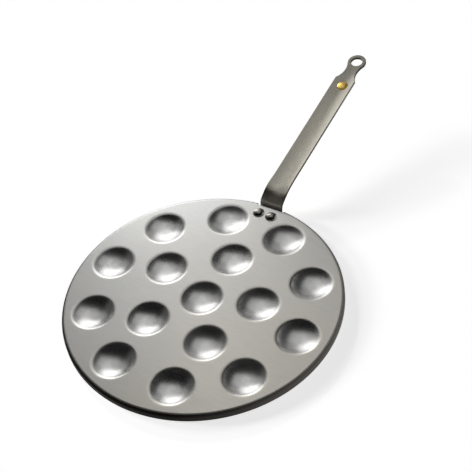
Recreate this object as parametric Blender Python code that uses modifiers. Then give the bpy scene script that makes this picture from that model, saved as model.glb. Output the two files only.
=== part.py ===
"""
Poffertjes pan: a pressed steel plate with sixteen round bowls and a turned-down rim,
on a cranked strip handle that two rivets hold under the plate. A brass button sits
near the handle's eye.

Lengths are metres. The origin is the middle of the plane that the pan rests on, under
the middle bowl. The bowls open along +Z and the handle runs out along +Y.
"""
import math

import bmesh
import bpy

# Plate: a flat sheet with its edge turned down
PLATE_RADIUS = 0.1350
SHEET = 0.0025
RIM_BEND_RADIUS = 0.0045

# Bowls: a small flat bottom, a hollow wall and a rounded lip. The rim reaches as low as they do
BOWL_DEPTH = 0.0056
BOWL_MOUTH_RADIUS = 0.0226
BOWL_FLAT_RADIUS = 0.0020
BOWL_LIP_RADIUS = 0.0080

# Bowl pattern: one in the middle, then two rings whose neighbours keep one spacing
INNER_RING_BOWLS = 5
OUTER_RING_BOWLS = 10
OUTER_RING_MARGIN = 0.0035
PATTERN_TURN = math.radians(-1.0)

# Notch in the rim where the handle leaves, and the gap that parts keep from each other
NOTCH_HALF_WIDTH = 0.0152
NOTCH_INSET = 0.0040
CLEARANCE = 0.0003

# Handle strip: flat under the plate, cranked up past its edge, then a long straight arm
STRIP = 0.0030
STRIP_HALF_WIDTH = 0.0116
STRIP_FLARE = 0.0007
FLANGE_LENGTH = 0.0200
FLANGE_CORNER_RADIUS = 0.0060
CRANK_ANGLE = math.radians(75.0)
CRANK_RADIUS = 0.0015
CRANK_LENGTH = 0.0043
KNEE_ANGLE = math.radians(29.0)
KNEE_RADIUS = 0.0050
KNEE_LENGTH = 0.0040
ARM_SLOPE = math.radians(9.45)
ARM_BEND_RADIUS = 0.0500
ARM_LENGTH = 0.1774
FLARE_REACH = 0.0100

# Hanging eye at the end of the arm, and the neck before it
EYE_RADIUS = 0.0101
EYE_HOLE_RADIUS = 0.0060
NECK_HALF_WIDTH = 0.0071
NECK_CURVE_RADIUS = 0.0236

# Rivets that hold the handle to the plate
RIVET_FROM_NOTCH = 0.0102
RIVET_SPACING = 0.0143
RIVET_SHANK_RADIUS = 0.0030
RIVET_HEAD_RADIUS = 0.0062
RIVET_HEAD_HEIGHT = 0.0028
RIVET_TAIL_RADIUS = 0.0049
RIVET_TAIL_HEIGHT = 0.0016

# Button on the arm
BUTTON_FROM_EYE = 0.0368
BUTTON_SIDESTEP = 0.0010
BUTTON_RADIUS = 0.0061
BUTTON_EDGE = 0.0006
BUTTON_DOME_HEIGHT = 0.0011
BUTTON_SHANK_RADIUS = 0.0025
BUTTON_TAIL_RADIUS = 0.0040
BUTTON_TAIL_HEIGHT = 0.0008

# How finely round shapes are divided
RIM_STEPS = 72
BOWL_STEPS = 24
SMALL_STEPS = 20

# Heights and places that follow from the sizes above
PLATE_TOP = BOWL_DEPTH + SHEET
PLATE_UNDERSIDE = PLATE_TOP - SHEET
RIM_BOTTOM = 0.0
FLAT_TOP_RADIUS = PLATE_RADIUS - RIM_BEND_RADIUS
OUTER_RING_RADIUS = FLAT_TOP_RADIUS - OUTER_RING_MARGIN - BOWL_MOUTH_RADIUS
BOWL_SPACING = 2 * OUTER_RING_RADIUS * math.sin(math.pi / OUTER_RING_BOWLS)
INNER_RING_RADIUS = BOWL_SPACING / (2 * math.sin(math.pi / INNER_RING_BOWLS))
NOTCH_Y = PLATE_RADIUS - NOTCH_INSET
RIVET_Y = NOTCH_Y - RIVET_FROM_NOTCH
STRIP_TOP = PLATE_UNDERSIDE - CLEARANCE
STRIP_UNDERSIDE = STRIP_TOP - STRIP
FLANGE_Y = NOTCH_Y - FLANGE_LENGTH
BASE_HALF_WIDTH = STRIP_HALF_WIDTH + STRIP_FLARE

# Merge distance, how far cutters reach past what they cut, and angles for flat and sharp
MERGE = 0.00001
OVERRUN = 0.0020
CUTTER_DEPTH = 0.1500
FLAT_ANGLE = math.radians(0.1)
SMOOTH_ANGLE = math.radians(30.0)


def arc(centre, radius, start, end, steps):
    """Points (x, y) along an arc, both ends included, angles in radians."""
    points = []
    for step in range(steps + 1):
        angle = start + (end - start) * step / steps
        points.append((centre[0] + radius * math.cos(angle), centre[1] + radius * math.sin(angle)))
    return points


def new_collection(name):
    """A collection linked to the scene."""
    collection = bpy.data.collections.new(name)
    bpy.context.scene.collection.children.link(collection)
    return collection


def new_material(name, colour, metallic, roughness):
    """A Principled BSDF material."""
    material = bpy.data.materials.new(name)
    material.use_nodes = True
    shader = material.node_tree.nodes["Principled BSDF"]
    shader.inputs["Base Color"].default_value = (*colour, 1.0)
    shader.inputs["Metallic"].default_value = metallic
    shader.inputs["Roughness"].default_value = roughness
    return material


def turned(name, profile, steps, collection):
    """A solid turned about Z from (radius, height) points that run down its outer side."""
    mesh = bpy.data.meshes.new(name)
    vertices = [(radius, 0.0, height) for radius, height in profile]
    edges = [(index, index + 1) for index in range(len(profile) - 1)]
    mesh.from_pydata(vertices, edges, [])
    piece = bpy.data.objects.new(name, mesh)
    collection.objects.link(piece)
    screw = piece.modifiers.new("turn", "SCREW")
    screw.axis = "Z"
    screw.angle = math.tau
    screw.steps = steps
    screw.render_steps = steps
    screw.use_merge_vertices = True
    screw.merge_threshold = MERGE
    return piece


def flat_outline(name, splines, thickness, collection):
    """A flat plate from closed outlines in its own XY plane, as a mesh centred on that plane."""
    curve = bpy.data.curves.new(name, "CURVE")
    curve.dimensions = "2D"
    curve.fill_mode = "BOTH"
    curve.extrude = thickness / 2
    for points in splines:
        spline = curve.splines.new("POLY")
        spline.points.add(len(points) - 1)
        spline.use_cyclic_u = True
        for point, place in zip(spline.points, points):
            point.co = (place[0], place[1], 0.0, 1.0)
    guide = bpy.data.objects.new(name, curve)
    collection.objects.link(guide)
    graph = bpy.context.evaluated_depsgraph_get()
    mesh = bpy.data.meshes.new_from_object(guide.evaluated_get(graph))
    bpy.data.objects.remove(guide)
    work = bmesh.new()
    work.from_mesh(mesh)
    bmesh.ops.remove_doubles(work, verts=work.verts, dist=MERGE)
    bmesh.ops.recalc_face_normals(work, faces=work.faces)
    work.to_mesh(mesh)
    work.free()
    piece = bpy.data.objects.new(name, mesh)
    collection.objects.link(piece)
    return piece


def cylinder(name, radius, bottom, top, place, collection):
    """An upright cylinder between two heights, centred on (x, y)."""
    mesh = bpy.data.meshes.new(name)
    work = bmesh.new()
    bmesh.ops.create_cone(
        work,
        cap_ends=True,
        segments=SMALL_STEPS,
        radius1=radius,
        radius2=radius,
        depth=top - bottom,
    )
    work.to_mesh(mesh)
    work.free()
    piece = bpy.data.objects.new(name, mesh)
    piece.location = (place[0], place[1], (top + bottom) / 2)
    collection.objects.link(piece)
    return piece


def box(name, low, high, collection):
    """A box between two corners."""
    mesh = bpy.data.meshes.new(name)
    work = bmesh.new()
    bmesh.ops.create_cube(work, size=1.0)
    size = [high[axis] - low[axis] for axis in range(3)]
    middle = [(high[axis] + low[axis]) / 2 for axis in range(3)]
    bmesh.ops.scale(work, vec=size, verts=work.verts)
    bmesh.ops.translate(work, vec=middle, verts=work.verts)
    work.to_mesh(mesh)
    work.free()
    piece = bpy.data.objects.new(name, mesh)
    collection.objects.link(piece)
    return piece


def boolean(piece, operation, other):
    """Adds a Boolean with one cutter, or with a collection of them."""
    modifier = piece.modifiers.new(other.name, "BOOLEAN")
    modifier.operation = operation
    modifier.solver = "EXACT"
    if isinstance(other, bpy.types.Collection):
        modifier.operand_type = "COLLECTION"
        modifier.collection = other
    else:
        modifier.object = other


def as_cutters(collection):
    """Shows cutters as wires and keeps them out of renders."""
    for cutter in collection.all_objects:
        cutter.hide_render = True
        cutter.display_type = "WIRE"


def bake(piece, material):
    """Turns the modified shape into the object's mesh, shades it and gives it its material."""
    graph = bpy.context.evaluated_depsgraph_get()
    mesh = bpy.data.meshes.new_from_object(piece.evaluated_get(graph))
    piece.modifiers.clear()
    piece.data = mesh
    mesh.materials.clear()
    mesh.materials.append(material)
    mesh.shade_smooth()
    mesh.set_sharp_from_angle(angle=SMOOTH_ANGLE)


def bowl_places():
    """Centres (x, y) of the bowls: the middle one, the inner ring, then the outer ring."""
    places = [(0.0, 0.0)]
    along_handle = math.pi / 2 + PATTERN_TURN
    for index in range(INNER_RING_BOWLS):
        angle = along_handle + math.tau * index / INNER_RING_BOWLS
        places.append((INNER_RING_RADIUS * math.cos(angle), INNER_RING_RADIUS * math.sin(angle)))
    for index in range(OUTER_RING_BOWLS):
        angle = along_handle + math.tau * (index + 0.5) / OUTER_RING_BOWLS
        places.append((OUTER_RING_RADIUS * math.cos(angle), OUTER_RING_RADIUS * math.sin(angle)))
    return places


def bowl_side(offset, lip_steps, wall_steps):
    """
    Side of a bowl, (radius, height) from its lip to its flat bottom. An offset moves it
    out through the sheet, square to the surface.
    """
    run = BOWL_MOUTH_RADIUS - BOWL_FLAT_RADIUS
    steepest = 2 * math.atan2(BOWL_DEPTH, run)
    wall_radius = run / math.sin(steepest) - BOWL_LIP_RADIUS
    up = math.pi / 2
    lip_centre = (BOWL_MOUTH_RADIUS, PLATE_TOP - BOWL_LIP_RADIUS)
    wall_centre = (BOWL_FLAT_RADIUS, PLATE_TOP - BOWL_DEPTH + wall_radius)
    lip = arc(lip_centre, BOWL_LIP_RADIUS - offset, up, up + steepest, lip_steps)
    wall = arc(wall_centre, wall_radius + offset, steepest - up, -up, wall_steps)
    return lip + wall[1:]


def bowl_skin(collection):
    """Outer skins of the bowls, one solid lump under the plate for each."""
    middle = (PLATE_TOP + PLATE_UNDERSIDE) / 2
    side = bowl_side(SHEET, lip_steps=1, wall_steps=3)
    profile = [(0.0, middle), (BOWL_MOUTH_RADIUS, middle)] + side + [(0.0, side[-1][1])]
    for index, place in enumerate(bowl_places()):
        lump = turned(f"bowl_skin_{index:02d}", profile, BOWL_STEPS, collection)
        lump.location = (place[0], place[1], 0.0)


def bowl_hollow(collection):
    """Insides of the bowls, one cutter for each."""
    above = PLATE_TOP + OVERRUN
    side = bowl_side(0.0, lip_steps=2, wall_steps=3)
    profile = [(0.0, above), (BOWL_MOUTH_RADIUS, above)] + side + [(0.0, side[-1][1])]
    for index, place in enumerate(bowl_places()):
        hollow = turned(f"bowl_hollow_{index:02d}", profile, BOWL_STEPS, collection)
        hollow.location = (place[0], place[1], 0.0)


def rivet_places():
    """Centres (x, y) of the left and the right rivet, seen from above with the handle away."""
    return {
        "rivet_left": (-RIVET_SPACING / 2, RIVET_Y),
        "rivet_right": (RIVET_SPACING / 2, RIVET_Y),
    }


def make_plate(parts, cutters, material):
    """The pressed plate: a turned disc with its rim, the bowls, the notch and the rivet holes."""
    bend_centre = (FLAT_TOP_RADIUS, PLATE_TOP - RIM_BEND_RADIUS)
    outer = arc(bend_centre, RIM_BEND_RADIUS, math.pi / 2, 0.0, 4)
    inner = arc(bend_centre, RIM_BEND_RADIUS - SHEET, 0.0, math.pi / 2, 3)
    foot = [(PLATE_RADIUS, RIM_BOTTOM), (PLATE_RADIUS - SHEET, RIM_BOTTOM)]
    profile = [(0.0, PLATE_TOP)] + outer + foot + inner + [(0.0, PLATE_UNDERSIDE)]
    plate = turned("pan_plate", profile, RIM_STEPS, parts)

    flats = plate.modifiers.new("plain_flats", "DECIMATE")
    flats.decimate_type = "DISSOLVE"
    flats.angle_limit = FLAT_ANGLE

    skins = bpy.data.collections.new("bowl_skins")
    cutters.children.link(skins)
    bowl_skin(skins)
    boolean(plate, "UNION", skins)

    hollows = bpy.data.collections.new("bowl_hollows")
    cutters.children.link(hollows)
    bowl_hollow(hollows)
    boolean(plate, "DIFFERENCE", hollows)

    notch = box(
        "rim_notch",
        (-NOTCH_HALF_WIDTH, NOTCH_Y, RIM_BOTTOM - OVERRUN),
        (NOTCH_HALF_WIDTH, PLATE_RADIUS + OVERRUN, PLATE_TOP + OVERRUN),
        cutters,
    )
    boolean(plate, "DIFFERENCE", notch)
    for name, place in rivet_places().items():
        hole = cylinder(
            f"plate_hole_{name}",
            RIVET_SHANK_RADIUS + CLEARANCE,
            PLATE_UNDERSIDE - OVERRUN,
            PLATE_TOP + OVERRUN,
            place,
            cutters,
        )
        boolean(plate, "DIFFERENCE", hole)
    bake(plate, material)
    return plate


def strip_faces():
    """
    Upper and lower face of the strip, (y, z) points from the flange to past the eye, and
    the point of the upper face where the straight arm starts.
    """
    y = FLANGE_Y
    z = STRIP_TOP
    heading = 0.0
    upper = [(y, z)]
    lower = [(y, z - STRIP)]

    def add():
        upper.append((y, z))
        lower.append((y + STRIP * math.sin(heading), z - STRIP * math.cos(heading)))

    def straight(length):
        nonlocal y, z
        y += length * math.cos(heading)
        z += length * math.sin(heading)
        add()

    def bend(radius, angle, steps):
        """Turns to a new heading. The radius is the upper face's own."""
        nonlocal y, z, heading
        side = 1.0 if angle > heading else -1.0
        centre_y = y - side * radius * math.sin(heading)
        centre_z = z + side * radius * math.cos(heading)
        start = heading
        for step in range(1, steps + 1):
            heading = start + (angle - start) * step / steps
            y = centre_y + side * radius * math.sin(heading)
            z = centre_z - side * radius * math.cos(heading)
            add()

    straight(FLANGE_LENGTH)
    bend(CRANK_RADIUS, CRANK_ANGLE, 5)
    straight(CRANK_LENGTH)
    bend(KNEE_RADIUS, KNEE_ANGLE, 4)
    straight(KNEE_LENGTH)
    bend(ARM_BEND_RADIUS, ARM_SLOPE, 3)
    arm_start = (y, z)
    straight(ARM_LENGTH + EYE_RADIUS + OVERRUN)
    return upper, lower, arm_start


def arm_outline():
    """
    Half outlines of the arm, (across, along) from the arm's start: the flare, the
    straight edge, the neck's curve and the eye, and the eye's hole.
    """
    across = NECK_HALF_WIDTH + NECK_CURVE_RADIUS
    joint = NECK_CURVE_RADIUS + EYE_RADIUS
    neck_along = ARM_LENGTH - math.sqrt(joint**2 - across**2)
    rise = math.acos((across - STRIP_HALF_WIDTH) / NECK_CURVE_RADIUS)
    meet = math.asin((ARM_LENGTH - neck_along) / joint)
    neck = arc((across, neck_along), NECK_CURVE_RADIUS, math.pi + rise, math.pi - meet, 8)
    eye = arc((0.0, ARM_LENGTH), EYE_RADIUS, -meet, math.pi / 2, 8)
    wide = BASE_HALF_WIDTH + OVERRUN
    behind = -(ARM_BEND_RADIUS + KNEE_LENGTH + FLANGE_LENGTH)
    side = [
        (wide, behind),
        (wide, -FLARE_REACH - OVERRUN),
        (BASE_HALF_WIDTH, -FLARE_REACH),
        (STRIP_HALF_WIDTH, FLARE_REACH),
    ]
    right = side + neck[:-1] + eye[:-1]
    left = [(-x, along) for x, along in reversed(right)]
    tip = [eye[-1]]
    hole = arc((0.0, ARM_LENGTH), EYE_HOLE_RADIUS, 0.0, math.tau, BOWL_STEPS)[:-1]
    return right + tip + left, hole


def flange_outline():
    """Outline of the flange's rounded inner end, (x, y), open wide towards the arm."""
    radius = FLANGE_CORNER_RADIUS
    centre = (BASE_HALF_WIDTH - radius, FLANGE_Y + radius)
    corner = arc(centre, radius, -math.pi / 2, 0.0, 4)
    wide = BASE_HALF_WIDTH + OVERRUN
    far = PLATE_RADIUS + ARM_LENGTH * 2
    right = corner + [(BASE_HALF_WIDTH, NOTCH_Y), (wide, NOTCH_Y + OVERRUN), (wide, far)]
    left = [(-x, y) for x, y in reversed(right)]
    return right + left


def make_handle(parts, cutters, material):
    """The strip: its side view pushed out to full width, then cut to its two outlines."""
    upper, lower, arm_start = strip_faces()
    side_view = upper + lower[::-1]
    handle = flat_outline("handle", [side_view], 2 * BASE_HALF_WIDTH, parts)
    handle.rotation_euler = (math.pi / 2, 0.0, math.pi / 2)

    outline, hole = arm_outline()
    arm_cut = flat_outline("arm_outline", [outline, hole], CUTTER_DEPTH, cutters)
    arm_cut.location = (0.0, arm_start[0], arm_start[1])
    arm_cut.rotation_euler = (ARM_SLOPE, 0.0, 0.0)
    boolean(handle, "INTERSECT", arm_cut)

    flange_cut = flat_outline("flange_outline", [flange_outline()], CUTTER_DEPTH, cutters)
    flange_cut.location = (0.0, 0.0, STRIP_TOP)
    boolean(handle, "INTERSECT", flange_cut)

    for name, place in rivet_places().items():
        rivet_hole = cylinder(
            f"handle_hole_{name}",
            RIVET_SHANK_RADIUS + CLEARANCE,
            STRIP_UNDERSIDE - OVERRUN,
            STRIP_TOP + OVERRUN,
            place,
            cutters,
        )
        boolean(handle, "DIFFERENCE", rivet_hole)

    button_hole = cylinder(
        "button_hole",
        BUTTON_SHANK_RADIUS + CLEARANCE,
        -STRIP - OVERRUN,
        OVERRUN,
        (0.0, 0.0),
        cutters,
    )
    set_on_arm(button_hole, arm_start, -STRIP / 2)
    boolean(handle, "DIFFERENCE", button_hole)
    bake(handle, material)
    return arm_start


def set_on_arm(piece, arm_start, lift):
    """Places a piece at the button's spot, square to the arm, lifted off its upper face."""
    along = ARM_LENGTH - BUTTON_FROM_EYE
    y = arm_start[0] + along * math.cos(ARM_SLOPE) - lift * math.sin(ARM_SLOPE)
    z = arm_start[1] + along * math.sin(ARM_SLOPE) + lift * math.cos(ARM_SLOPE)
    piece.location = (BUTTON_SIDESTEP, y, z)
    piece.rotation_euler = (ARM_SLOPE, 0.0, 0.0)


def dome(radius, height, base, steps):
    """A dome's side, (radius, height) from its top to its edge, on a base height."""
    ball = (radius**2 + height**2) / (2 * height)
    half_angle = math.asin(radius / ball)
    centre = (0.0, base + height - ball)
    return arc(centre, ball, math.pi / 2, math.pi / 2 - half_angle, steps)


def make_rivet(name, place, parts, material):
    """A rivet with a domed head on the plate and a flat formed tail under the strip."""
    seat = PLATE_TOP + CLEARANCE
    tail = STRIP_UNDERSIDE - CLEARANCE
    head = dome(RIVET_HEAD_RADIUS, RIVET_HEAD_HEIGHT, seat, 6)
    profile = head + [
        (RIVET_SHANK_RADIUS, seat),
        (RIVET_SHANK_RADIUS, tail),
        (RIVET_TAIL_RADIUS, tail),
        (RIVET_TAIL_RADIUS, tail - RIVET_TAIL_HEIGHT / 2),
        (RIVET_SHANK_RADIUS, tail - RIVET_TAIL_HEIGHT),
        (0.0, tail - RIVET_TAIL_HEIGHT),
    ]
    rivet = turned(name, profile, SMALL_STEPS, parts)
    rivet.location = (place[0], place[1], 0.0)
    bake(rivet, material)


def make_button(arm_start, parts, material):
    """The button: a low dome with a short edge, a shank through the arm and a formed tail."""
    seat = CLEARANCE
    tail = -STRIP - CLEARANCE
    head = dome(BUTTON_RADIUS, BUTTON_DOME_HEIGHT, seat + BUTTON_EDGE, 5)
    profile = head + [
        (BUTTON_RADIUS, seat),
        (BUTTON_SHANK_RADIUS, seat),
        (BUTTON_SHANK_RADIUS, tail),
        (BUTTON_TAIL_RADIUS, tail),
        (BUTTON_SHANK_RADIUS, tail - BUTTON_TAIL_HEIGHT),
        (0.0, tail - BUTTON_TAIL_HEIGHT),
    ]
    button = turned("brass_button", profile, SMALL_STEPS, parts)
    set_on_arm(button, arm_start, 0.0)
    bake(button, material)


def main():
    for old in list(bpy.data.objects):
        bpy.data.objects.remove(old, do_unlink=True)
    parts = new_collection("poffertjes_pan")
    cutters = new_collection("cutters")
    plate_steel = new_material("satin_steel", (0.60, 0.59, 0.57), 1.0, 0.34)
    strip_steel = new_material("brushed_strip_steel", (0.47, 0.45, 0.41), 1.0, 0.38)
    rivet_steel = new_material("rivet_steel", (0.42, 0.41, 0.40), 1.0, 0.25)
    brass = new_material("polished_brass", (0.86, 0.62, 0.17), 1.0, 0.22)

    make_plate(parts, cutters, plate_steel)
    arm_start = make_handle(parts, cutters, strip_steel)
    for name, place in rivet_places().items():
        make_rivet(name, place, parts, rivet_steel)
    make_button(arm_start, parts, brass)
    as_cutters(cutters)


main()
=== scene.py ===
"""
Looks of the poffertjes pan: a finely modelled pressed plate, strip handle, rivets and brass
button in worn steel and brass, on a white floor in a dark studio with softboxes round it.

Lengths are metres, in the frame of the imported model: the plate's axis is Z, the pan rests
on z = 0 and the handle runs out along +Y.
"""
import math

import bmesh
import bpy
from mathutils import Matrix, Vector


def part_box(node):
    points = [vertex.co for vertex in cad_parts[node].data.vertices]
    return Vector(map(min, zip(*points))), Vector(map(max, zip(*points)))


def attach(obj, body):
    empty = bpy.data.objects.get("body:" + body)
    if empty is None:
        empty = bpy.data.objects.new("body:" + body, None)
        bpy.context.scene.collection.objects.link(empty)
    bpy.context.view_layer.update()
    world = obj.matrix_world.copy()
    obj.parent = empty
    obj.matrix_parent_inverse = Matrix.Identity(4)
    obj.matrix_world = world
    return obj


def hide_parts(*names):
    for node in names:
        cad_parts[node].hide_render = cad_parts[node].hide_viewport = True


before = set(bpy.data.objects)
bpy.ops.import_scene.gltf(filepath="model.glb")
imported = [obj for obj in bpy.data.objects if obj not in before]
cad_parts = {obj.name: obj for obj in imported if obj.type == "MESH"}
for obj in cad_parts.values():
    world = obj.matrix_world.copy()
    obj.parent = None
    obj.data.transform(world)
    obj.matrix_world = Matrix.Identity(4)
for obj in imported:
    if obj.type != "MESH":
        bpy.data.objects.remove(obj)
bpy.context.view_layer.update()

# Faces that meet at less than this angle are shaded as one
SMOOTH_ANGLE = math.radians(40.0)

# Plate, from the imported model. Its rim bends a little tighter than the solid's, and the bowls
# keep the solid's places.
PLATE_LOW, PLATE_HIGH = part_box("pan_plate")
PLATE_RADIUS = PLATE_HIGH.x
PLATE_TOP = PLATE_HIGH.z
RIM_BOTTOM = PLATE_LOW.z
SHEET = 0.0025
RIM_BEND_RADIUS = 0.0032
FLAT_TOP_RADIUS = PLATE_RADIUS - RIM_BEND_RADIUS
FOOT_ROUNDING = 0.0004

# Bowls and their pattern
BOWL_DEPTH = PLATE_TOP - SHEET
BOWL_MOUTH_RADIUS = 0.0226
BOWL_FLAT_RADIUS = 0.0020
BOWL_LIP_RADIUS = 0.0080
OUTER_RING_MARGIN = 0.0048
INNER_RING_BOWLS = 5
OUTER_RING_BOWLS = 10
OUTER_RING_RADIUS = FLAT_TOP_RADIUS - OUTER_RING_MARGIN - BOWL_MOUTH_RADIUS
BOWL_SPACING = 2 * OUTER_RING_RADIUS * math.sin(math.pi / OUTER_RING_BOWLS)
INNER_RING_RADIUS = BOWL_SPACING / (2 * math.sin(math.pi / INNER_RING_BOWLS))
PATTERN_TURN = math.radians(-1.0)

# Notch in the rim and the rivets
NOTCH_HALF_WIDTH = 0.0152
NOTCH_Y = PLATE_RADIUS - 0.0040
RIVET_LOW, RIVET_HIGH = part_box("rivet_right")
RIVET_X = (RIVET_LOW.x + RIVET_HIGH.x) / 2
RIVET_Y = (RIVET_LOW.y + RIVET_HIGH.y) / 2
RIVET_HEAD_RADIUS = (RIVET_HIGH.x - RIVET_LOW.x) / 2
RIVET_SHANK_RADIUS = 0.0030
RIVET_TAIL_RADIUS = 0.0049
HEAD_EDGE_RADIUS = 0.0005
TURNED_STEPS = 64
HOLE_STEPS = 32
CLEARANCE = 0.0003

# Handle strip
STRIP = 0.0030
STRIP_TOP = PLATE_TOP - SHEET - CLEARANCE
STRIP_HALF_WIDTH = 0.0116
BASE_HALF_WIDTH = 0.0123
STRIP_EDGE_RADIUS = 0.0006
STRIP_DISH = 0.0012
FLANGE_LENGTH = 0.0200
FLANGE_Y = NOTCH_Y - FLANGE_LENGTH
FLANGE_CORNER_RADIUS = 0.0060
CRANK_ANGLE = math.radians(75.0)
CRANK_RADIUS = 0.0015
CRANK_LENGTH = 0.0043
KNEE_ANGLE = math.radians(29.0)
KNEE_RADIUS = 0.0050
KNEE_LENGTH = 0.0040
ARM_SLOPE = math.radians(9.45)
ARM_BEND_RADIUS = 0.0500
ARM_LENGTH = 0.1774
FLARE_REACH = 0.0100
EYE_RADIUS = 0.0101
EYE_HOLE_RADIUS = 0.0060
NECK_HALF_WIDTH = 0.0071
NECK_CURVE_RADIUS = 0.0236

# Button on the arm
BUTTON_FROM_EYE = 0.0368
BUTTON_SIDESTEP = 0.0010
BUTTON_RADIUS = 0.0061
BUTTON_HEIGHT = 0.0017
BUTTON_SHANK_RADIUS = 0.0025
BUTTON_TAIL_RADIUS = 0.0040
BUTTON_TAIL_HEIGHT = 0.0008


def arc(centre, radius, start, end, steps):
    """Points (x, y) along an arc, both ends included, angles in radians."""
    points = []
    for step in range(steps + 1):
        angle = start + (end - start) * step / steps
        points.append((centre[0] + radius * math.cos(angle), centre[1] + radius * math.sin(angle)))
    return points


def add_object(name, work, material):
    """Makes a piece from a bmesh, shades it, and ties it to the pan's one body."""
    bmesh.ops.recalc_face_normals(work, faces=work.faces)
    mesh = bpy.data.meshes.new(name)
    work.to_mesh(mesh)
    work.free()
    mesh.shade_smooth()
    mesh.set_sharp_from_angle(angle=SMOOTH_ANGLE)
    mesh.materials.append(material)
    piece = bpy.data.objects.new(name, mesh)
    bpy.context.scene.collection.objects.link(piece)
    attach(piece, "root")
    return piece


def ring(work, centre, radius, z, steps):
    """A circle of vertices round a vertical axis."""
    vertices = []
    for step in range(steps):
        angle = math.tau * step / steps
        place = (centre[0] + radius * math.cos(angle), centre[1] + radius * math.sin(angle), z)
        vertices.append(work.verts.new(place))
    return vertices


def bridge(work, first, second):
    """A band of quads between two closed loops of vertices."""
    count = len(first)
    for index in range(count):
        after = (index + 1) % count
        work.faces.new((first[index], first[after], second[after], second[index]))


def cap(work, loop, centre):
    """Closes a loop with a fan of triangles round a middle vertex."""
    middle = work.verts.new(centre)
    count = len(loop)
    for index in range(count):
        work.faces.new((loop[index], loop[(index + 1) % count], middle))


def turned(work, centre, profile, steps):
    """Bands round a vertical axis through (radius, height) points. Returns the loops."""
    loops = [ring(work, centre, radius, z, steps) for radius, z in profile]
    for first, second in zip(loops, loops[1:]):
        bridge(work, first, second)
    return loops


def loop_edges(work, loop):
    """The edges of a closed loop of vertices, made where they are missing."""
    edges = []
    count = len(loop)
    for index in range(count):
        pair = (loop[index], loop[(index + 1) % count])
        edges.append(work.edges.get(pair) or work.edges.new(pair))
    return edges


def bowl_places():
    """Centres (x, y) of the bowls: the middle one, the inner ring, then the outer ring."""
    places = [(0.0, 0.0)]
    along_handle = math.pi / 2 + PATTERN_TURN
    for index in range(INNER_RING_BOWLS):
        angle = along_handle + math.tau * index / INNER_RING_BOWLS
        places.append((INNER_RING_RADIUS * math.cos(angle), INNER_RING_RADIUS * math.sin(angle)))
    for index in range(OUTER_RING_BOWLS):
        angle = along_handle + math.tau * (index + 0.5) / OUTER_RING_BOWLS
        places.append((OUTER_RING_RADIUS * math.cos(angle), OUTER_RING_RADIUS * math.sin(angle)))
    return places


def bowl_side(offset):
    """Side of a bowl, (radius, height) from its lip to its bottom, moved out through the sheet."""
    lip_steps = 8
    wall_steps = 12
    run = BOWL_MOUTH_RADIUS - BOWL_FLAT_RADIUS
    steepest = 2 * math.atan2(BOWL_DEPTH, run)
    wall_radius = run / math.sin(steepest) - BOWL_LIP_RADIUS
    up = math.pi / 2
    lip_centre = (BOWL_MOUTH_RADIUS, PLATE_TOP - BOWL_LIP_RADIUS)
    wall_centre = (BOWL_FLAT_RADIUS, PLATE_TOP - BOWL_DEPTH + wall_radius)
    lip = arc(lip_centre, BOWL_LIP_RADIUS - offset, up, up + steepest, lip_steps)
    wall = arc(wall_centre, wall_radius + offset, steepest - up, -up, wall_steps)
    return lip + wall[1:]


def plate_sheet(work):
    """The pressed sheet, closed all round, still without its notch and rivet holes."""
    bowl_steps = 72
    rim_steps = 288
    bend_steps = 10
    inner_bend_steps = 6
    foot_steps = 3
    flat_margin = 0.0010
    rims = []
    for offset in (0.0, SHEET):
        level = PLATE_TOP - offset
        edges = []
        for place in bowl_places():
            profile = [(BOWL_MOUTH_RADIUS + flat_margin, level)] + bowl_side(offset)
            loops = turned(work, place, profile, bowl_steps)
            cap(work, loops[-1], (place[0], place[1], profile[-1][1]))
            edges += loop_edges(work, loops[0])
        rim = ring(work, (0.0, 0.0), FLAT_TOP_RADIUS - flat_margin, level, rim_steps)
        edges += loop_edges(work, rim)
        bmesh.ops.triangle_fill(work, use_beauty=True, edges=edges)
        rims.append(rim)

    bend = (FLAT_TOP_RADIUS, PLATE_TOP - RIM_BEND_RADIUS)
    inner_radius = PLATE_RADIUS - SHEET
    foot_z = RIM_BOTTOM + FOOT_ROUNDING
    right = math.pi / 2
    outer_foot = (PLATE_RADIUS - FOOT_ROUNDING, foot_z)
    inner_foot = (inner_radius + FOOT_ROUNDING, foot_z)
    profile = arc(bend, RIM_BEND_RADIUS, right, 0.0, bend_steps)
    profile += arc(outer_foot, FOOT_ROUNDING, 0.0, -right, foot_steps)
    profile += arc(inner_foot, FOOT_ROUNDING, -right, -2 * right, foot_steps)
    profile += arc(bend, RIM_BEND_RADIUS - SHEET, 0.0, right, inner_bend_steps)
    loops = turned(work, (0.0, 0.0), profile, rim_steps)
    bridge(work, rims[0], loops[0])
    bridge(work, loops[-1], rims[1])


def cutter_mesh(name):
    """The notch's box and the rivet holes' cylinders, as one object that cuts the sheet."""
    work = bmesh.new()
    reach = 0.0040
    hole_steps = 40
    middle = (PLATE_TOP + RIM_BOTTOM) / 2
    height = PLATE_TOP - RIM_BOTTOM + 2 * reach
    notch_depth = PLATE_RADIUS + reach - NOTCH_Y
    box = bmesh.ops.create_cube(work, size=1.0)["verts"]
    bmesh.ops.scale(work, vec=(2 * NOTCH_HALF_WIDTH, notch_depth, height), verts=box)
    bmesh.ops.translate(work, vec=(0.0, NOTCH_Y + notch_depth / 2, middle), verts=box)
    for x in (-RIVET_X, RIVET_X):
        hole = bmesh.ops.create_cone(
            work,
            cap_ends=True,
            segments=hole_steps,
            radius1=RIVET_SHANK_RADIUS + CLEARANCE,
            radius2=RIVET_SHANK_RADIUS + CLEARANCE,
            depth=height,
        )["verts"]
        bmesh.ops.translate(work, vec=(x, RIVET_Y, middle), verts=hole)
    mesh = bpy.data.meshes.new(name)
    work.to_mesh(mesh)
    work.free()
    cutter = bpy.data.objects.new(name, mesh)
    bpy.context.scene.collection.objects.link(cutter)
    return cutter


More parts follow.
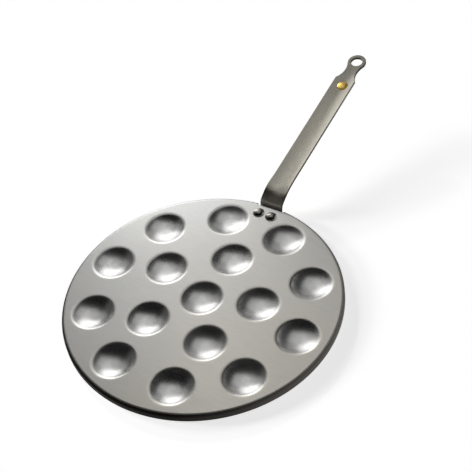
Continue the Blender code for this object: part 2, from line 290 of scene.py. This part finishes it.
def make_plate(material):
    """The plate, cut by its notch and rivet holes."""
    work = bmesh.new()
    plate_sheet(work)
    plate = add_object("pressed_plate", work, material)
    cutter = cutter_mesh("plate_cutter")
    modifier = plate.modifiers.new("cuts", "BOOLEAN")
    modifier.operation = "DIFFERENCE"
    modifier.solver = "EXACT"
    modifier.object = cutter
    graph = bpy.context.evaluated_depsgraph_get()
    mesh = bpy.data.meshes.new_from_object(plate.evaluated_get(graph))
    plate.modifiers.clear()
    plate.data = mesh
    bpy.data.objects.remove(cutter)
    mesh.set_sharp_from_angle(angle=SMOOTH_ANGLE)
    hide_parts("pan_plate")


def strip_path():
    """The strip's upper face as (length, radius, turn) runs; a turn of 0 is straight."""
    crank = CRANK_ANGLE
    knee = KNEE_ANGLE - CRANK_ANGLE
    arm = ARM_SLOPE - KNEE_ANGLE
    return [
        (FLANGE_LENGTH, 0.0, 0.0),
        (CRANK_RADIUS * crank, CRANK_RADIUS, crank),
        (CRANK_LENGTH, 0.0, 0.0),
        (KNEE_RADIUS * -knee, KNEE_RADIUS, knee),
        (KNEE_LENGTH, 0.0, 0.0),
        (ARM_BEND_RADIUS * -arm, ARM_BEND_RADIUS, arm),
        (ARM_LENGTH + 2 * EYE_RADIUS, 0.0, 0.0),
    ]


def smooth_step(value, low, high):
    """Rises smoothly from 0 to 1 as a value goes from low to high."""
    share = min(1.0, max(0.0, (value - low) / (high - low)))
    return share * share * (3 - 2 * share)


def dish(across, along):
    """How far the arm's edges curl up: the strip is hollow across, and flat at both ends."""
    start = arm_start()
    neck = start + ARM_LENGTH - NECK_CURVE_RADIUS
    grown = smooth_step(along, FLANGE_LENGTH, start)
    kept = 1 - smooth_step(along, neck, neck + NECK_CURVE_RADIUS)
    return grown * kept * STRIP_DISH * (across / STRIP_HALF_WIDTH) ** 2


def on_strip(across, along, lift):
    """The place of a point given across and along the flat strip, lifted off its upper face."""
    y = FLANGE_Y
    z = STRIP_TOP
    heading = 0.0
    lift += dish(across, along)
    left = along
    for length, radius, turn in strip_path():
        step = min(left, length)
        if turn == 0.0:
            y += step * math.cos(heading)
            z += step * math.sin(heading)
        else:
            side = math.copysign(1.0, turn)
            after = heading + turn * step / length
            y += side * radius * (math.sin(after) - math.sin(heading))
            z -= side * radius * (math.cos(after) - math.cos(heading))
            heading = after
        left -= step
        if left <= 0.0:
            break
    return Vector((across, y - lift * math.sin(heading), z + lift * math.cos(heading)))


def arm_start():
    """Distance along the strip at which the straight arm starts."""
    return sum(length for length, radius, turn in strip_path()[:-1])


def strip_outline():
    """Outline of the flat strip, (across, along), anticlockwise from the flange's corner."""
    corner_steps = 8
    curve_steps = 24
    start = arm_start()
    eye_along = start + ARM_LENGTH
    corner = FLANGE_CORNER_RADIUS
    right = arc((BASE_HALF_WIDTH - corner, corner), corner, -math.pi / 2, 0.0, corner_steps)
    flare_start = start - FLARE_REACH
    flare_end = start + FLARE_REACH
    right += [(BASE_HALF_WIDTH, flare_start), (STRIP_HALF_WIDTH, flare_end)]

    across = NECK_HALF_WIDTH + NECK_CURVE_RADIUS
    joint = NECK_CURVE_RADIUS + EYE_RADIUS
    neck_along = eye_along - math.sqrt(joint**2 - across**2)
    rise = math.acos((across - STRIP_HALF_WIDTH) / NECK_CURVE_RADIUS)
    meet = math.asin((eye_along - neck_along) / joint)
    neck_centre = (across, neck_along)
    neck = arc(neck_centre, NECK_CURVE_RADIUS, math.pi + rise, math.pi - meet, curve_steps)
    right += neck[:-1]
    right += arc((0.0, eye_along), EYE_RADIUS, -meet, math.pi / 2, curve_steps)
    left = [(-x, along) for x, along in reversed(right[:-1])]
    return right + left


def circle(centre, radius, steps):
    """A closed circle of points, without its repeated last point."""
    return arc(centre, radius, 0.0, math.tau, steps)[:-1]


def moved_in(points, distance):
    """A closed anticlockwise outline moved in by a distance, with mitred corners."""
    least_mitre = 0.3
    moved = []
    count = len(points)
    for index, point in enumerate(points):
        here = Vector(point)
        before = (here - Vector(points[index - 1])).normalized()
        after = (Vector(points[(index + 1) % count]) - here).normalized()
        inward = Vector((-before.y - after.y, before.x + after.x)).normalized()
        stretch = 1.0 / max(least_mitre, inward.dot(Vector((-before.y, before.x))))
        moved.append(tuple(here + inward * distance * stretch))
    return moved


def rounded_wall(work, points, outward):
    """
    The strip's edge along an outline: rounded at both faces, with a narrow flat band
    beyond. Outward is 1 for the outer outline and -1 for a hole. Returns the end loops.
    """
    radius = STRIP_EDGE_RADIUS
    flat_band = 0.0004
    steps = 4
    levels = [(radius + flat_band, 0.0)]
    for step in range(steps + 1):
        angle = math.pi / 2 * step / steps
        levels.append((radius * (1 - math.sin(angle)), -radius * (1 - math.cos(angle))))
    levels += [(inset, -STRIP - lift) for inset, lift in reversed(levels)]
    loops = []
    for inset, lift in levels:
        outline = moved_in(points, outward * inset)
        loops.append([work.verts.new((x, along, lift)) for x, along in outline])
    for first, second in zip(loops, loops[1:]):
        bridge(work, first, second)
    return loops[0], loops[-1]


def plain_wall(work, points):
    """A straight hole's wall through the strip. Returns its two end loops."""
    top = [work.verts.new((x, along, 0.0)) for x, along in points]
    bottom = [work.verts.new((x, along, -STRIP)) for x, along in points]
    bridge(work, top, bottom)
    return top, bottom


def cut_across(work, place, normal):
    """Cuts every face where it crosses a plane, so that the mesh can bend there."""
    geometry = work.verts[:] + work.edges[:] + work.faces[:]
    bmesh.ops.bisect_plane(work, geom=geometry, plane_co=place, plane_no=normal)


def bend_stations():
    """Distances along the strip at which its faces are cut, so that they can bend there."""
    turn_step = math.radians(4.0)
    least_cuts = 4
    neck_cuts = 6
    stations = []
    along = 0.0
    for length, radius, turn in strip_path():
        if turn != 0.0:
            cuts = max(least_cuts, math.ceil(abs(turn) / turn_step))
            stations += [along + length * cut / cuts for cut in range(cuts + 1)]
        along += length
    neck = along - 2 * EYE_RADIUS - NECK_CURVE_RADIUS
    stations += [neck + NECK_CURVE_RADIUS * cut / neck_cuts for cut in range(neck_cuts + 1)]
    return stations


def make_handle(material):
    """The strip: a flat blank with rounded edges, cut across at its bends and then bent."""
    eye_steps = 48
    lengthwise_cuts = 4
    work = bmesh.new()
    eye_along = arm_start() + ARM_LENGTH
    rivet_along = RIVET_Y - FLANGE_Y
    button_place = (BUTTON_SIDESTEP, eye_along - BUTTON_FROM_EYE)
    eye_hole = circle((0.0, eye_along), EYE_HOLE_RADIUS, eye_steps)
    walls = [rounded_wall(work, strip_outline(), 1.0), rounded_wall(work, eye_hole, -1.0)]
    for x in (-RIVET_X, RIVET_X):
        rivet_hole = circle((x, rivet_along), RIVET_SHANK_RADIUS + CLEARANCE, HOLE_STEPS)
        walls.append(plain_wall(work, rivet_hole))
    button_hole = circle(button_place, BUTTON_SHANK_RADIUS + CLEARANCE, HOLE_STEPS)
    walls.append(plain_wall(work, button_hole))
    for face in (0, 1):
        edges = []
        for wall in walls:
            edges += loop_edges(work, wall[face])
        bmesh.ops.triangle_fill(work, use_beauty=True, edges=edges)
    for along in bend_stations():
        cut_across(work, (0.0, along, 0.0), (0.0, 1.0, 0.0))
    for step in range(-lengthwise_cuts, lengthwise_cuts + 1):
        across = STRIP_HALF_WIDTH * step / (lengthwise_cuts + 1)
        cut_across(work, (across, 0.0, 0.0), (1.0, 0.0, 0.0))
    for vertex in work.verts:
        vertex.co = on_strip(vertex.co.x, vertex.co.y, vertex.co.z)
    handle = add_object("handle_strip", work, material)
    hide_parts("handle")


def dome(radius, height, base, steps):
    """A dome's side with a rounded edge, (radius, height) from its top to its foot."""
    edge_steps = 5
    edge = HEAD_EDGE_RADIUS
    ball = (radius**2 + height**2) / (2 * height)
    half_angle = math.asin((radius - edge) / ball)
    centre = (0.0, base + height - ball)
    top = arc(centre, ball, math.pi / 2, math.pi / 2 - half_angle, steps)
    shoulder = top[-1]
    tilt = math.pi / 2 - half_angle
    turn_centre = (shoulder[0] - edge * math.cos(tilt), shoulder[1] - edge * math.sin(tilt))
    side = arc(turn_centre, edge, tilt, 0.0, edge_steps)
    return top + side[1:] + [(side[-1][0], base)]


def solid_of_turning(work, profile, steps):
    """A closed solid turned about Z from a profile that starts and ends on the axis."""
    loops = turned(work, (0.0, 0.0), profile[1:-1], steps)
    cap(work, loops[0], (0.0, 0.0, profile[0][1]))
    cap(work, loops[-1], (0.0, 0.0, profile[-1][1]))


def make_rivet(name, x, node, material):
    """A rivet: a domed head on the plate, its shank, and its formed tail under the strip."""
    dome_steps = 16
    seat = PLATE_TOP + CLEARANCE
    top = RIVET_HIGH.z
    tail = STRIP_TOP - STRIP - CLEARANCE
    tail_end = RIVET_LOW.z
    head = dome(RIVET_HEAD_RADIUS, top - seat, seat, dome_steps)
    profile = head + [
        (RIVET_SHANK_RADIUS, seat),
        (RIVET_SHANK_RADIUS, tail),
        (RIVET_TAIL_RADIUS, tail),
        (RIVET_TAIL_RADIUS, (tail + tail_end) / 2),
        (RIVET_SHANK_RADIUS, tail_end),
        (0.0, tail_end),
    ]
    work = bmesh.new()
    solid_of_turning(work, profile, TURNED_STEPS)
    bmesh.ops.translate(work, vec=(x, RIVET_Y, 0.0), verts=work.verts)
    rivet = add_object(name, work, material)
    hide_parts(node)


def make_button(material):
    """The button: a low dome with a rounded edge, its shank and its tail, square to the arm."""
    dome_steps = 14
    seat = CLEARANCE
    tail = -STRIP - CLEARANCE
    tail_end = tail - BUTTON_TAIL_HEIGHT
    head = dome(BUTTON_RADIUS, BUTTON_HEIGHT, seat, dome_steps)
    profile = head + [
        (BUTTON_SHANK_RADIUS, seat),
        (BUTTON_SHANK_RADIUS, tail),
        (BUTTON_TAIL_RADIUS, tail),
        (BUTTON_SHANK_RADIUS, tail_end),
        (0.0, tail_end),
    ]
    work = bmesh.new()
    solid_of_turning(work, profile, TURNED_STEPS)
    place = on_strip(BUTTON_SIDESTEP, arm_start() + ARM_LENGTH - BUTTON_FROM_EYE, 0.0)
    tilt = Matrix.Translation(place) @ Matrix.Rotation(ARM_SLOPE, 4, "X")
    bmesh.ops.transform(work, matrix=tilt, verts=work.verts)
    button = add_object("button", work, material)
    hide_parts("brass_button")


# Sockets of the colour mix node, which has others of the same names for its other kinds
MIX_FACTOR = 0
MIX_FIRST = 6
MIX_SECOND = 7
MIX_RESULT = 2

# Noise values seldom leave this range
NOISE_LOW = 0.3
NOISE_HIGH = 0.7

# The scale of a noise that isn't stretched
EVEN = (1.0, 1.0, 1.0)


class Nodes:
    """A short way to build a material's node tree."""

    def __init__(self, name):
        self.material = bpy.data.materials.new(name)
        self.material.use_nodes = True
        self.tree = self.material.node_tree
        self.tree.nodes.clear()

    def add(self, kind, inputs=None, **settings):
        """Adds a node, sets its own settings, then its inputs to values or to other outputs."""
        node = self.tree.nodes.new(kind)
        for key, value in settings.items():
            setattr(node, key, value)
        for key, value in (inputs or {}).items():
            if isinstance(value, bpy.types.NodeSocket):
                self.tree.links.new(value, node.inputs[key])
            else:
                node.inputs[key].default_value = value
        return node

    def coordinates(self, kind="Object"):
        """The place of a point on the piece, or its normal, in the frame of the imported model."""
        return self.add("ShaderNodeTexCoord").outputs[kind]

    def coordinate(self, axis):
        """One coordinate of a point, by the name of its axis."""
        return self.add("ShaderNodeSeparateXYZ", {0: self.coordinates()}).outputs[axis]

    def dot(self, vector, direction):
        """The dot product of a vector and a fixed direction."""
        inputs = {0: vector, 1: direction}
        return self.add("ShaderNodeVectorMath", inputs, operation="DOT_PRODUCT").outputs["Value"]

    def reach(self, azimuth):
        """How far a point lies from the plate's axis towards an azimuth, counted from +X."""
        return self.dot(self.coordinates(), (math.cos(azimuth), math.sin(azimuth), 0.0))

    def facing(self, direction):
        """How squarely a face faces a direction, from either side: 1 where it is straight on."""
        turn = self.dot(self.coordinates("Normal"), direction)
        return self.add("ShaderNodeMath", {0: turn}, operation="ABSOLUTE").outputs[0]

    def mapped(self, scale):
        """Object coordinates stretched by a scale on each axis."""
        inputs = {"Vector": self.coordinates(), "Scale": scale}
        return self.add("ShaderNodeMapping", inputs).outputs[0]

    def radius(self):
        """Distance from the plate's axis."""
        inputs = {0: self.mapped((1.0, 1.0, 0.0))}
        return self.add("ShaderNodeVectorMath", inputs, operation="LENGTH").outputs["Value"]

    def noise(self, scale, size, detail=2.0, roughness=0.55):
        """Noise on object coordinates stretched by a scale, about one feature a size."""
        inputs = {"Vector": self.mapped(scale), "Scale": 1.0 / size}
        inputs.update({"Detail": detail, "Roughness": roughness})
        return self.add("ShaderNodeTexNoise", inputs).outputs["Fac"]

    def ranged(self, value, low, high, to_low, to_high):
        """Maps a value from one range to another, clamped."""
        inputs = {0: value, 1: low, 2: high, 3: to_low, 4: to_high}
        return self.add("ShaderNodeMapRange", inputs).outputs[0]

    def spread(self, noise, to_low, to_high):
        """Maps a noise from the range that it fills to another, clamped."""
        return self.ranged(noise, NOISE_LOW, NOISE_HIGH, to_low, to_high)

    def colours(self, factor, stops):
        """A colour ramp with (position, colour) stops."""
        node = self.add("ShaderNodeValToRGB", {"Fac": factor})
        ramp = node.color_ramp
        while len(ramp.elements) < len(stops):
            ramp.elements.new(1.0)
        for element, (position, colour) in zip(ramp.elements, stops):
            element.position = position
            element.color = (*colour, 1.0)
        return node.outputs[0]

    def clouded(self, noise, first, second):
        """A colour that drifts from one to another with a noise."""
        return self.colours(noise, [(NOISE_LOW, first), (NOISE_HIGH, second)])

    def mixed(self, factor, first, second, blend="MIX"):
        """Mixes two colours, each a socket or (red, green, blue)."""
        inputs = {MIX_FACTOR: factor}
        for socket, colour in ((MIX_FIRST, first), (MIX_SECOND, second)):
            inputs[socket] = (*colour, 1.0) if isinstance(colour, tuple) else colour
        node = self.add("ShaderNodeMix", inputs, data_type="RGBA", blend_type=blend)
        return node.outputs[MIX_RESULT]

    def shaded(self, colour, shade):
        """A colour times a shade."""
        return self.mixed(1.0, colour, shade, blend="MULTIPLY")

    def maths(self, operation, first, second):
        """One sum on two values."""
        return self.add("ShaderNodeMath", {0: first, 1: second}, operation=operation).outputs[0]

    def bump(self, height, strength, distance):
        """A bumped normal from a height."""
        inputs = {"Height": height, "Strength": strength, "Distance": distance}
        return self.add("ShaderNodeBump", inputs).outputs[0]

    def metal(self, colour, roughness, normal):
        """The metal's shader, wired to the output. Returns the finished material."""
        inputs = {"Base Color": colour, "Metallic": 1.0, "Roughness": roughness, "Normal": normal}
        shader = self.add("ShaderNodeBsdfPrincipled", inputs)
        self.add("ShaderNodeOutputMaterial", {0: shader.outputs[0]})
        return self.material


# Plate's steel: its oil looks warmer towards one side, and its bowls are a more neutral grey
# and a little smoother. Azimuths are counted from +X.
WARM_AZIMUTH = math.radians(-30.0)
COOL_OIL = (0.600, 0.600, 0.585)
WARM_OIL = (0.645, 0.620, 0.560)
OIL_DRIFT = 0.15
BOWL_STEEL = (0.625, 0.622, 0.612)
BOWL_POLISH = 0.02
FLAT_STARTS = PLATE_TOP - 0.0012
FLAT_ENDS = PLATE_TOP - 0.0002
PLATE_GRAIN = 0.0012
PLATE_RUBS = 0.018
PLATE_CLOUDS = 0.060

# Painted shade on the plate's turned-down rim: a dark reflection painted into its colour, paler towards one
# side
RIM_SHADE_INNER = PLATE_RADIUS - 0.0026
RIM_SHADE_OUTER = PLATE_RADIUS - 0.0014
RIM_SHADE_ROUGHNESS = 0.40
RIM_SHADE_PALE_AZIMUTH = math.radians(20.0)
RIM_SHADE_BY_SIDE = [
    (0.0, (0.009, 0.008, 0.007)),
    (0.35, (0.040, 0.037, 0.034)),
    (0.7, (0.090, 0.085, 0.078)),
    (1.0, (0.115, 0.108, 0.098)),
]


def plate_steel():
    """
    Raw sheet steel: a satin roll grain, rubs and soft clouds, warmer towards one side. The
    turned-down rim has painted shade, a dark reflection painted into its colour.
    """
    nodes = Nodes("plate_steel")
    clouds = nodes.noise(EVEN, PLATE_CLOUDS)
    drift = nodes.spread(clouds, -OIL_DRIFT, OIL_DRIFT)
    warm_side = nodes.ranged(nodes.reach(WARM_AZIMUTH), -PLATE_RADIUS, PLATE_RADIUS, 0.0, 1.0)
    warmth = nodes.maths("ADD", warm_side, drift)
    oiled = nodes.colours(warmth, [(0.0, COOL_OIL), (1.0, WARM_OIL)])
    flat = nodes.ranged(nodes.coordinate("Z"), FLAT_STARTS, FLAT_ENDS, 0.0, 1.0)
    base = nodes.mixed(flat, BOWL_STEEL, oiled)
    grain = nodes.noise((0.08, 1.0, 1.0), PLATE_GRAIN)
    rubs = nodes.noise((0.25, 1.0, 1.0), PLATE_RUBS, detail=5.0, roughness=0.6)
    grain_shade = nodes.spread(grain, 0.955, 1.015)
    rub_shade = nodes.spread(rubs, 0.0, 0.03)
    satin = nodes.shaded(base, nodes.maths("ADD", grain_shade, rub_shade))
    # Painted shade: the rim's colour darkens in place of a dark reflection, paler towards one side
    rim = nodes.ranged(nodes.radius(), RIM_SHADE_INNER, RIM_SHADE_OUTER, 0.0, 1.0)
    paler_side = nodes.ranged(nodes.reach(RIM_SHADE_PALE_AZIMUTH), 0.0, PLATE_RADIUS, 0.0, 1.0)
    colour = nodes.mixed(rim, satin, nodes.colours(paler_side, RIM_SHADE_BY_SIDE))
    polish = nodes.ranged(flat, 0.0, 1.0, -BOWL_POLISH, 0.0)
    smooth = nodes.maths("ADD", nodes.spread(rubs, 0.27, 0.33), polish)
    dull = nodes.maths("MULTIPLY", rim, RIM_SHADE_ROUGHNESS)
    roughness = nodes.maths("ADD", smooth, dull)
    normal = nodes.bump(grain, strength=0.05, distance=0.00004)
    return nodes.metal(colour, roughness, normal)


# Strip's steel: darker than the plate's, with painted shade on its narrow edges and in its fold. The
# places where a change starts and ends are counted along +Y.
STRIP_DARK = (0.400, 0.377, 0.320)
STRIP_PALE = (0.460, 0.437, 0.380)
STRIP_STREAKS = 0.0012
STRIP_CLOUDS = 0.022
EDGE_SHADE = (0.022, 0.020, 0.017)
EDGE_SHADE_STARTS = 0.25
EDGE_SHADE_FULL = 0.60
NECK_STARTS = 0.300
NECK_FULL = NECK_STARTS + 0.002
FOLD_SHADE = 0.45
FOLD_STARTS = NOTCH_Y + 0.0006
FOLD_ENDS = NOTCH_Y + 0.0040
CRANK_ROUGHNESS = 0.26
CRANK_STARTS = NOTCH_Y + 0.0030
CRANK_ENDS = NOTCH_Y + 0.0110


def handle_steel():
    """
    Strip steel, brushed along its length. Its edges have painted shade along both sides and round
    the eye, and the crank is dull, with painted shade down in its fold.
    """
    nodes = Nodes("handle_steel")
    streaks = nodes.noise((1.0, 0.03, 1.0), STRIP_STREAKS)
    clouds = nodes.noise((1.0, 0.5, 1.0), STRIP_CLOUDS, detail=3.0)
    clouded = nodes.clouded(clouds, STRIP_DARK, STRIP_PALE)
    satin = nodes.shaded(clouded, nodes.spread(streaks, 0.92, 1.05))
    along = nodes.coordinate("Y")
    # Painted shade: the strip darkens towards its fold
    fold_shaded = nodes.shaded(satin, nodes.ranged(along, FOLD_STARTS, FOLD_ENDS, FOLD_SHADE, 1.0))
    # Painted shade on the narrow edges and round the eye: a dark reflection painted into their colour
    on_side = nodes.facing((1.0, 0.0, 0.0))
    on_end = nodes.facing((0.0, math.cos(ARM_SLOPE), math.sin(ARM_SLOPE)))
    near_eye = nodes.ranged(along, NECK_STARTS, NECK_FULL, 0.0, 1.0)
    edge = nodes.maths("MAXIMUM", on_side, nodes.maths("MULTIPLY", on_end, near_eye))
    colour = nodes.mixed(nodes.ranged(edge, EDGE_SHADE_STARTS, EDGE_SHADE_FULL, 0.0, 1.0), fold_shaded, EDGE_SHADE)
    dull = nodes.ranged(along, CRANK_STARTS, CRANK_ENDS, CRANK_ROUGHNESS, 0.0)
    roughness = nodes.maths("ADD", nodes.spread(streaks, 0.22, 0.28), dull)
    normal = nodes.bump(streaks, strength=0.1, distance=0.00004)
    return nodes.metal(colour, roughness, normal)


# Rivets' steel, and the size of the dents that the rivet set leaves
RIVET_DARK = (0.295, 0.280, 0.258)
RIVET_PALE = (0.370, 0.356, 0.326)
RIVET_DENTS = 0.0025


def rivet_steel():
    """Smooth headed steel with small dents from the rivet set."""
    nodes = Nodes("rivet_steel")
    dents = nodes.noise(EVEN, RIVET_DENTS)
    colour = nodes.clouded(dents, RIVET_DARK, RIVET_PALE)
    roughness = nodes.spread(dents, 0.16, 0.24)
    normal = nodes.bump(dents, strength=0.35, distance=0.0001)
    return nodes.metal(colour, roughness, normal)


# Button's brass, and the size of its clouds and scratches
BRASS_DEEP = (0.99, 0.63, 0.13)
BRASS_PALE = (1.0, 0.74, 0.23)
BRASS_CLOUDS = 0.003
BRASS_SCRATCHES = 0.0004


def polished_brass():
    """Polished brass, a little cloudy, with fine scratches."""
    nodes = Nodes("polished_brass")
    colour = nodes.clouded(nodes.noise(EVEN, BRASS_CLOUDS), BRASS_DEEP, BRASS_PALE)
    scratches = nodes.noise((0.1, 1.0, 1.0), BRASS_SCRATCHES)
    roughness = nodes.spread(scratches, 0.32, 0.40)
    normal = nodes.bump(scratches, strength=0.2, distance=0.00003)
    return nodes.metal(colour, roughness, normal)


# Camera, from the photograph's perspective: its place over the plate's top, and its three axes
CAMERA_OVER_PLATE = Vector((0.46406, -0.53659, 0.79849))
CAMERA_AXIS_RIGHT = Vector((0.85380, 0.50787, -0.11440))
CAMERA_AXIS_BACK = Vector((0.42575, -0.55474, 0.71484))
CAMERA_LENS = 85.87
CAMERA_SENSOR = 36.0


def make_camera():
    """The camera at the photograph's angle."""
    data = bpy.data.cameras.new("camera")
    data.lens = CAMERA_LENS
    data.sensor_width = CAMERA_SENSOR
    camera = bpy.data.objects.new("camera", data)
    bpy.context.scene.collection.objects.link(camera)
    back = CAMERA_AXIS_BACK.normalized()
    right = (CAMERA_AXIS_RIGHT - CAMERA_AXIS_RIGHT.dot(back) * back).normalized()
    up = back.cross(right)
    turn = Matrix((right, up, back)).transposed().to_4x4()
    place = CAMERA_OVER_PLATE + Vector((0.0, 0.0, PLATE_TOP))
    camera.matrix_world = Matrix.Translation(place) @ turn
    bpy.context.scene.camera = camera


# Studio lamps on a dome round the pan. Angles are degrees: where a lamp stands, counted from
# +X, how high it stands, and how wide and tall it looks from the pan. A brightness of 1 is white.
LAMP_DISTANCE = 0.75
LAMPS = [
    {"name": "tall_softbox", "azimuth": 139, "height": 14.5, "width": 24, "reach": 29, "brightness": 1.62},
    {"name": "softbox_bounce", "azimuth": 129.5, "height": 23, "width": 24, "reach": 36, "brightness": 1.16},
    {"name": "wide_sheet", "azimuth": 131, "height": 33, "width": 64, "reach": 36, "brightness": 0.31},
    {"name": "high_sheet", "azimuth": 108, "height": 61.5, "width": 32, "reach": 33, "brightness": 0.56},
    {"name": "high_corner", "azimuth": 148, "height": 55, "width": 23, "reach": 22, "brightness": 0.48},
    {"name": "side_softbox", "azimuth": 45, "height": 13, "width": 56, "reach": 30, "brightness": 0.95},
    {"name": "side_bounce", "azimuth": 27, "height": 22, "width": 42, "reach": 31, "brightness": 1.05},
    {"name": "front_sheet", "azimuth": -75, "height": 25, "width": 96, "reach": 42, "brightness": 0.34},
    {"name": "right_fill", "azimuth": -8, "height": 25, "width": 40, "reach": 42, "brightness": 0.42},
    {"name": "left_fill", "azimuth": -138, "height": 14, "width": 40, "reach": 22, "brightness": 0.15},
    {"name": "gap_fill", "azimuth": 98, "height": 15, "width": 50, "reach": 28, "brightness": 0.12},
    {"name": "back_fill", "azimuth": 178, "height": 21, "width": 40, "reach": 40, "brightness": 0.09},
]

# Dome of dark studio walls, from just above the horizon up to its cap. Heights are angles.
WALL_DISTANCE = 2.5
WALL_FOOT = math.radians(6.0)
WALL_TOP = math.radians(85.0)
WALL_SHADE = 0.003

# Low suns for the pan's shadow. A shade is how much of the floor's white its shadow takes away.
SUNS = [
    {"name": "plate_sun", "azimuth": 196, "height": 13.5, "softness": 7.0, "shade": 0.085},
    {"name": "handle_sun", "azimuth": 148.5, "height": 15.8, "softness": 2.0, "shade": 0.035},
    {"name": "near_sun", "azimuth": 172, "height": 19.0, "softness": 13.0, "shade": 0.100},
]
FLOOR_RADIUS = 12.0
FLOOR_COLOUR = 0.80
FLOOR_GLOW = 1.0 - sum(sun["shade"] for sun in SUNS)


def direction_to(azimuth, height):
    """The direction from the pan to a place on the dome, from its two angles."""
    flat = math.cos(height)
    return Vector((flat * math.cos(azimuth), flat * math.sin(azimuth), math.sin(height)))


def make_lamp(lamp):
    """A rectangular softbox that faces the middle of the pan."""
    data = bpy.data.lights.new(lamp["name"], "AREA")
    data.shape = "RECTANGLE"
    data.size = 2 * LAMP_DISTANCE * math.tan(math.radians(lamp["width"] / 2))
    data.size_y = 2 * LAMP_DISTANCE * math.tan(math.radians(lamp["reach"] / 2))
    data.energy = lamp["brightness"] * math.pi * data.size * data.size_y
    light = bpy.data.objects.new(lamp["name"], data)
    bpy.context.scene.collection.objects.link(light)
    away = direction_to(math.radians(lamp["azimuth"]), math.radians(lamp["height"]))
    light.location = away * LAMP_DISTANCE
    light.rotation_euler = away.to_track_quat("Z", "Y").to_euler()
    light.visible_camera = False
    light.visible_diffuse = False


def make_sun(sun):
    """A low sun that lights the floor for one of the pan's shadows and stays out of the metal."""
    height = math.radians(sun["height"])
    data = bpy.data.lights.new(sun["name"], "SUN")
    data.angle = math.radians(sun["softness"])
    data.energy = sun["shade"] * math.pi / (FLOOR_COLOUR * math.sin(height))
    light = bpy.data.objects.new(sun["name"], data)
    bpy.context.scene.collection.objects.link(light)
    away = direction_to(math.radians(sun["azimuth"]), height)
    light.rotation_euler = away.to_track_quat("Z", "Y").to_euler()
    light.visible_glossy = False


def seen_directly(tree):
    """1 for camera, glossy and transmission rays, else 0."""
    path = tree.nodes.new("ShaderNodeLightPath")
    total = path.outputs["Is Camera Ray"]
    for ray in ("Is Glossy Ray", "Is Transmission Ray"):
        larger = tree.nodes.new("ShaderNodeMath")
        larger.operation = "MAXIMUM"
        tree.links.new(total, larger.inputs[0])
        tree.links.new(path.outputs[ray], larger.inputs[1])
        total = larger.outputs[0]
    return total


def stage_object(name, work, material):
    """Makes a piece of the studio, which is no part of the pan."""
    mesh = bpy.data.meshes.new(name)
    work.to_mesh(mesh)
    work.free()
    mesh.materials.append(material)
    piece = bpy.data.objects.new(name, mesh)
    bpy.context.scene.collection.objects.link(piece)
    return piece


def make_floor():
    """A white floor: it takes the suns' shadows, and a plain glow lifts it to white."""
    round_steps = 64
    nodes = Nodes("studio_floor")
    grey = (FLOOR_COLOUR, FLOOR_COLOUR, FLOOR_COLOUR, 1.0)
    shade = nodes.add("ShaderNodeBsdfDiffuse", {"Color": grey})
    glow_strength = nodes.maths("MULTIPLY", seen_directly(nodes.tree), FLOOR_GLOW)
    glow = nodes.add("ShaderNodeEmission", {"Strength": glow_strength})
    total = nodes.add("ShaderNodeAddShader", {0: shade.outputs[0], 1: glow.outputs[0]})
    nodes.add("ShaderNodeOutputMaterial", {0: total.outputs[0]})
    work = bmesh.new()
    bmesh.ops.create_circle(work, cap_ends=True, radius=FLOOR_RADIUS, segments=round_steps)
    stage_object("floor", work, nodes.material)


def make_walls():
    """Dark studio walls over a white horizon, seen only in the metal."""
    upward_steps = 16
    round_steps = 48
    nodes = Nodes("studio_walls")
    dim = nodes.add("ShaderNodeEmission", {"Strength": WALL_SHADE})
    nodes.add("ShaderNodeOutputMaterial", {0: dim.outputs[0]})
    profile = arc((0.0, 0.0), WALL_DISTANCE, WALL_FOOT, WALL_TOP, upward_steps)
    work = bmesh.new()
    loops = turned(work, (0.0, 0.0), profile, round_steps)
    cap(work, loops[-1], (0.0, 0.0, WALL_DISTANCE))
    walls = stage_object("walls", work, nodes.material)
    walls.visible_camera = False
    walls.visible_diffuse = False
    walls.visible_shadow = False


def make_world():
    """A world that is white where it is seen, and lights nothing that isn't a mirror."""
    world = bpy.data.worlds.new("studio")
    world.use_nodes = True
    tree = world.node_tree
    sky = tree.nodes["Background"]
    sky.inputs["Color"].default_value = (1.0, 1.0, 1.0, 1.0)
    tree.links.new(seen_directly(tree), sky.inputs["Strength"])
    bpy.context.scene.world = world


def main():
    """Builds the pan's five pieces, then the studio round them."""
    make_plate(plate_steel())
    make_handle(handle_steel())
    steel = rivet_steel()
    make_rivet("rivet_head_left", -RIVET_X, "rivet_left", steel)
    make_rivet("rivet_head_right", RIVET_X, "rivet_right", steel)
    make_button(polished_brass())
    for lamp in LAMPS:
        make_lamp(lamp)
    for sun in SUNS:
        make_sun(sun)
    make_floor()
    make_walls()
    make_world()
    make_camera()
    bpy.context.scene.view_settings.view_transform = "Standard"


main()
